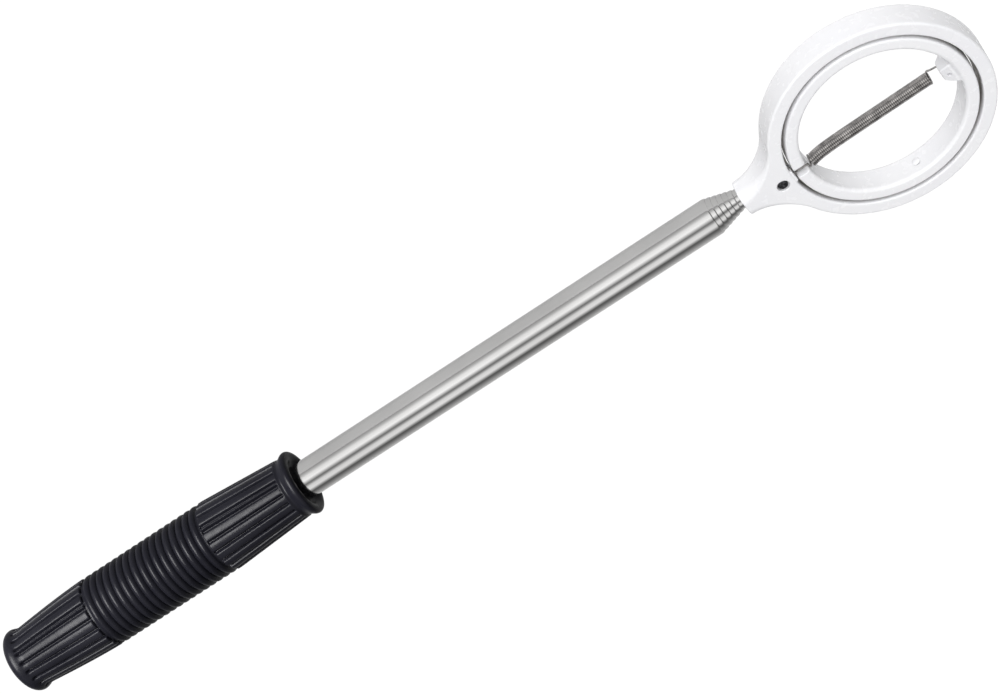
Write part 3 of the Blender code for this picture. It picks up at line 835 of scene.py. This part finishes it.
def inner_field(x, y, z):
    """The inner ring with its tapered boss, wire notch, hook slot and holes."""
    z = z - HEAD_RISE
    out = np.hypot(x - RING_X, y)
    middle = (INNER_OUTER + INNER_INNER) / 2
    edge = np.where(out < middle, INNER_EDGES[0], INNER_EDGES[1])
    wall = np.hypot(out, z) - math.hypot(INNER_OUTER, RING_HALF)
    solid = round_max(np.maximum(wall, INNER_INNER - out), np.abs(z) - RING_HALF, edge)
    reach = x - RING_X
    size = np.interp(reach, (BOSS_TIP, BOSS_BASE), (BOSS_TIP_HALF, BOSS_BASE_HALF))
    sides = round_max(np.abs(y) - size, np.abs(z) - size, BOSS_EDGES[0])
    ends = np.maximum(BOSS_TIP - reach, reach - middle)
    solid = round_min(solid, round_max(sides * BOSS_FLANK, ends, BOSS_EDGES[1]), BOSS_FILLET)
    low = (RING_X - INNER_OUTER - CUT_REACH, NOTCH_SIDES[0], NOTCH_FLOOR)
    high = (RING_X - INNER_INNER + CUT_REACH, NOTCH_SIDES[1], NOTCH_TOP)
    solid = round_max(solid, -block(x, y, z, low, high, NOTCH_EDGES[0]), NOTCH_EDGES[1])
    solid = round_max(solid, -block(x, y, z, SLOT_LOW, SLOT_HIGH, SLOT_EDGE), SLOT_EDGE)
    dimple = np.maximum(np.hypot(reach - DIMPLE_PLACE, y) - DIMPLE_RADIUS, DIMPLE_FLOOR - z)
    solid = round_max(solid, -dimple, DIMPLE_EDGE)
    return round_max(solid, PIN_HOLE - np.hypot(reach, z), PIN_EDGE)


def make_head():
    margin = NET_MARGIN
    low = (SOCKET_START - margin, -RING_OUTER - margin, -SOCKET_HALF - margin)
    high = (RING_X + RING_OUTER + margin, RING_OUTER + margin, HEAD_RISE + SOCKET_HALF + margin)
    mesh = net_mesh("outer_ring", frame_field, low, high)
    finish = white_finish("white_moulding_outer", 0)
    # Painted shade on the outer ring's inner wall and bead, where they face the gap
    paint_gap_shade(finish, (INNER_OUTER, INNER_OUTER + 0.1), (RING_INNER + 0.12, RING_INNER + 0.3))
    new_piece("outer_ring", mesh, "head", finish.material, ("head_frame",))
    low = (RING_X - INNER_OUTER - margin, -INNER_OUTER - margin, HEAD_RISE - RING_HALF - margin)
    high = (RING_X + INNER_OUTER + margin, INNER_OUTER + margin, HEAD_RISE + RING_HALF + margin)
    mesh = net_mesh("turning_ring", inner_field, low, high, NET_STEP * 0.9)
    finish = white_finish("white_moulding_inner", 3)
    # Painted shade on the turning ring's outer wall, where it faces the gap
    paint_gap_shade(finish, (INNER_OUTER - 0.3, INNER_OUTER - 0.12), (RING_INNER, RING_INNER + 0.1))
    new_piece("turning_ring", mesh, "ring", finish.material, ("inner_ring",))


def make_pins():
    """Domed pins through both rings, turned along Y."""
    for side, node in ((1, "pivot_pin_left"), (-1, "pivot_pin_right")):
        face = INNER_INNER - 0.1
        turns = np.linspace(math.pi / 2, 0.12, 8)
        dome = [(face - PIN_DOME * math.sin(a), PIN_HEAD * math.cos(a)) for a in turns]
        profile = [(dome[0][0], 0.0), *dome[1:], (face, PIN_HEAD - 0.05), (face, PIN_SHANK)]
        profile += [(PIN_END - PIN_TAPER, PIN_SHANK), (PIN_END, PIN_SHANK - 0.35), (PIN_END, 0.0)]
        mesh = solid_turned_mesh(f"pin_{side}", profile, PIN_SIDES)
        mesh.transform(Matrix.Rotation(side * math.pi / 2, 4, "Z"))
        mesh.transform(Matrix.Translation((RING_X * MM, 0, HEAD_RISE * MM)))
        name = node.replace("pivot_", "") + "_domed"
        new_piece(name, mesh, "head", white_finish(f"white_{name}", 7 + side).material, (node,))


def screw_field(x, y, z):
    """A small pan head screw with a cross recess and a plain shank."""
    under = WELL_FLOOR + 0.05
    rim, base, cut = SCREW_EDGES
    x = x - SCREW_X
    out = np.hypot(x, y)
    dome = np.hypot(out, z - SCREW_TOP + SCREW_DOME) - SCREW_DOME
    solid = round_max(round_max(out - SCREW_RADIUS, dome, rim), under - z, base)
    cross = np.minimum(np.maximum(np.abs(y) - CROSS_HALF, np.abs(x) - CROSS_REACH),
                       np.maximum(np.abs(x) - CROSS_HALF, np.abs(y) - CROSS_REACH))
    recess = np.maximum(cross, SCREW_TOP - CROSS_DEPTH + CROSS_SLOPE * out - z)
    solid = round_max(solid, -recess, cut)
    shank = np.maximum(out - SCREW_SHANK, np.maximum(z - under - 0.2, SCREW_END - z))
    return np.minimum(solid, shank)


def make_screw():
    low, high = (SCREW_X - 2.7, -2.7, SCREW_END - 0.83), (SCREW_X + 2.7, 2.7, SCREW_TOP + 0.85)
    mesh = net_mesh("cross_screw", screw_field, low, high, SCREW_NET_STEP)
    finish = dark_steel_finish("screw_dark", (0.07, 0.07, 0.075), 0.35, 900)
    new_piece("cross_screw", mesh, "head", finish, ("head_screw",))


def coil_height(x):
    """Height of the coil's middle line: it lies in the opening with a slight bow, high at the near end."""
    share = np.clip((x - COIL_NEAR) / (COIL_FAR - COIL_NEAR), 0.0, 1.0)
    return COIL_LEVEL + COIL_SLOPE * (1 - share) + COIL_LIFT * np.exp(-share * COIL_LIFT_FALL)


def near_wire():
    """The spring's hook in its slot and the wire over the notch."""
    hook = RING_X - HOOK_REACH
    wire = NEAR_WIRE_Z
    route = [(hook, 0, 0.2), (hook, 0, 1.3), (hook + 0.05, 0, 2.4), (hook + 0.65, 0, wire),
             (hook + 2.2, 0, wire + 0.05), (COIL_NEAR - LOOSE_TURN - 0.7, 0.2, wire + 0.1)]
    return smooth_line(route, 5)


def far_wire(x, y, z):
    """The wire from the end of the coil into the boss."""
    boss = RING_X + BOSS_TIP
    route = [(x + 0.5, y - 0.05, z - 0.25), (x + 1.6, y - 0.3, z), (boss, y - 0.5, z + 0.1),
             (boss + 2.0, y - 0.6, z + 0.1)]
    return smooth_line(route, 4)


def spring_path():
    """Hook, near wire, one loose turn, the close coil and the far wire.

    With the points come the number of the first coiled one, and each coiled point's outward direction and
    section.
    """
    path = near_wire()
    coiled = len(path)
    outward = []
    halves = [(WIRE, WIRE)] * coiled
    turns = COIL_TURNS + 1
    total = 2 * math.pi * (turns + 1) + COIL_END - COIL_START
    for i in range(turns * COIL_STEPS + 1):
        share = i / (turns * COIL_STEPS)
        turned = share * total
        first = min(1.0, turned / (2 * math.pi))
        along = LOOSE_TURN * (smooth_step(0.0, 1.0, first) - 1)
        along += (COIL_FAR - COIL_NEAR) * max(0.0, share - 1 / turns) / (1 - 1 / turns)
        x = COIL_NEAR + along
        size = COIL_RADIUS * (LOOSE_SIZE + (1 - LOOSE_SIZE) * smooth_step(0.0, 0.35, first))
        angle = COIL_START + turned
        y, z = math.cos(angle), math.sin(angle)
        path.append((x, size * y + LOOSE_SHIFT * (1 - first), coil_height(x) + size * z))
        outward.append(np.array((0.0, y, z)))
        at_end = min(first, (1 - share) * turns)
        halves.append((WIRE, WIRE + (COILED_HEIGHT - WIRE) * at_end))
    path += far_wire(*path[-1])
    halves += [(WIRE, WIRE)] * (len(path) - len(halves))
    return [(x, y, z + HEAD_RISE) for x, y, z in path], coiled, outward, halves


def make_spring():
    mesh = swept_mesh("spring_wire", *spring_path(), WIRE_SIDES)
    finish = dark_steel_finish("spring_wire_dark", (0.36, 0.345, 0.335), 0.16, 300)
    new_piece("spring_wire", mesh, "ring", finish, ("ball_spring",))


# Stage


def lift_for_camera(tree, shader):
    """Blend the floor towards plain white where the camera sees it, as an overexposed white sweep looks."""
    glow = tree.nodes.new("ShaderNodeEmission")
    glow.inputs["Strength"].default_value = FLOOR_WHITE
    seen = tree.nodes.new("ShaderNodeLightPath")
    part = tree.nodes.new("ShaderNodeMath")
    part.operation = "MULTIPLY"
    part.inputs[1].default_value = FLOOR_LIFT
    mix = tree.nodes.new("ShaderNodeMixShader")
    tree.links.new(seen.outputs["Is Camera Ray"], part.inputs[0])
    tree.links.new(part.outputs["Value"], mix.inputs["Fac"])
    tree.links.new(shader.outputs["BSDF"], mix.inputs[1])
    tree.links.new(glow.outputs["Emission"], mix.inputs[2])
    tree.links.new(mix.outputs["Shader"], tree.nodes["Material Output"].inputs["Surface"])


def make_floor():
    """A white sweep just clear of the head when it is spun on the shaft: the object hangs over it."""
    size = FLOOR_HALF
    z = -(RING_OUTER + FLOOR_CLEARANCE) * MM
    mesh = bpy.data.meshes.new("floor")
    corners = [(-size, -size, z), (size, -size, z), (size, size, z), (-size, size, z)]
    mesh.from_pydata(corners, [], [(0, 1, 2, 3)])
    floor = bpy.data.objects.new("floor", mesh)
    bpy.context.scene.collection.objects.link(floor)
    paper = Finish("white_paper", (0.64, 0.64, 0.64), 0.9)
    paper.vary_roughness(paper.noise(30, 3), 0.85, 0.95)
    paper.set("Emission Color", (1.0, 1.0, 1.0, 1.0))
    paper.set("Emission Strength", 0.08)
    lift_for_camera(paper.tree, paper.shader)
    mesh.materials.append(paper.material)


def make_world():
    """White behind the object, and round it a soft tent whose brightness changes with the angle about X."""
    world = bpy.data.worlds.new("studio")
    bpy.context.scene.world = world
    world.use_nodes = True
    tree = world.node_tree
    nodes, links = tree.nodes, tree.links
    nodes.clear()
    place = nodes.new("ShaderNodeTexCoord")
    split = nodes.new("ShaderNodeSeparateXYZ")
    links.new(place.outputs["Generated"], split.inputs["Vector"])
    turn = nodes.new("ShaderNodeMath")
    turn.operation = "ARCTAN2"
    links.new(split.outputs["Z"], turn.inputs[0])
    links.new(split.outputs["Y"], turn.inputs[1])
    degrees = nodes.new("ShaderNodeMapRange")
    degrees.inputs["From Min"].default_value = -math.pi
    degrees.inputs["From Max"].default_value = math.pi
    links.new(turn.outputs["Value"], degrees.inputs["Value"])
    ramp = nodes.new("ShaderNodeValToRGB")
    elements = ramp.color_ramp.elements
    for angle, level in TENT_STOPS[1:-1]:
        elements.new((angle + 180) / 360)
    for element, (angle, level) in zip(elements, TENT_STOPS):
        element.position = (angle + 180) / 360
        shade = level / TENT_STRENGTH[0]
        element.color = (shade, shade, shade, 1.0)
    links.new(degrees.outputs["Result"], ramp.inputs["Fac"])
    sideways = nodes.new("ShaderNodeMath")
    sideways.operation = "ABSOLUTE"
    links.new(split.outputs["X"], sideways.inputs[0])
    strength = nodes.new("ShaderNodeMapRange")
    ends = (*TENT_REACH, *TENT_STRENGTH)
    for socket, value in zip(("From Min", "From Max", "To Min", "To Max"), ends):
        strength.inputs[socket].default_value = value
    links.new(sideways.outputs["Value"], strength.inputs["Value"])
    tent = nodes.new("ShaderNodeBackground")
    links.new(strength.outputs["Result"], tent.inputs["Strength"])
    links.new(ramp.outputs["Color"], tent.inputs["Color"])
    white = nodes.new("ShaderNodeBackground")
    white.inputs["Color"].default_value = (1.0, 1.0, 1.0, 1.0)
    white.inputs["Strength"].default_value = 1.0
    seen = nodes.new("ShaderNodeLightPath")
    mix = nodes.new("ShaderNodeMixShader")
    links.new(seen.outputs["Is Camera Ray"], mix.inputs["Fac"])
    links.new(tent.outputs["Background"], mix.inputs[1])
    links.new(white.outputs["Background"], mix.inputs[2])
    output = nodes.new("ShaderNodeOutputWorld")
    links.new(mix.outputs["Shader"], output.inputs["Surface"])


def area_light(name, place, target, size, power, glossy):
    light = bpy.data.lights.new(name, "AREA")
    light.shape = "RECTANGLE"
    light.size, light.size_y = size
    light.energy = power
    made = bpy.data.objects.new(name, light)
    bpy.context.scene.collection.objects.link(made)
    made.location = place
    made.rotation_euler = (Vector(target) - Vector(place)).to_track_quat("-Z", "Y").to_euler()
    made.visible_camera = False
    made.visible_glossy = glossy
    return made


def light_only(light, name):
    """Keep a light's effect to one piece, as a lamp with a hood does."""
    group = bpy.data.collections.new(f"lit_by_{light.name}")
    group.objects.link(bpy.data.objects[name])
    light.light_linking.receiver_collection = group


def make_lights():
    lights = {name: area_light(name, *numbers) for name, numbers in LIGHTS.items()}
    light_only(lights["grip_key"], "grip_rubber")


def make_camera():
    azimuth, elevation = math.radians(CAMERA_AZIMUTH), math.radians(CAMERA_ELEVATION)
    back = Vector((math.cos(azimuth) * math.cos(elevation), math.sin(azimuth) * math.cos(elevation),
                   math.sin(elevation)))
    data = bpy.data.cameras.new("camera")
    data.lens = LENS
    data.sensor_width = SENSOR
    camera = bpy.data.objects.new("camera", data)
    bpy.context.scene.collection.objects.link(camera)
    level = (-back).to_track_quat("-Z", "Y").to_matrix()
    roll = Matrix.Rotation(math.radians(CAMERA_ROLL), 3, "Z")
    camera.rotation_euler = (level @ roll).to_euler()
    camera.location = Vector(CAMERA_PLACE) * MM
    bpy.context.scene.camera = camera


def set_view():
    view = bpy.context.scene.view_settings
    view.view_transform = "Standard"
    view.look = "None"
    view.exposure = 0.0
    view.gamma = 1.0


make_shaft()
make_grip()
make_head()
make_pins()
make_screw()
make_spring()
make_floor()
make_world()
make_lights()
make_camera()
set_view()
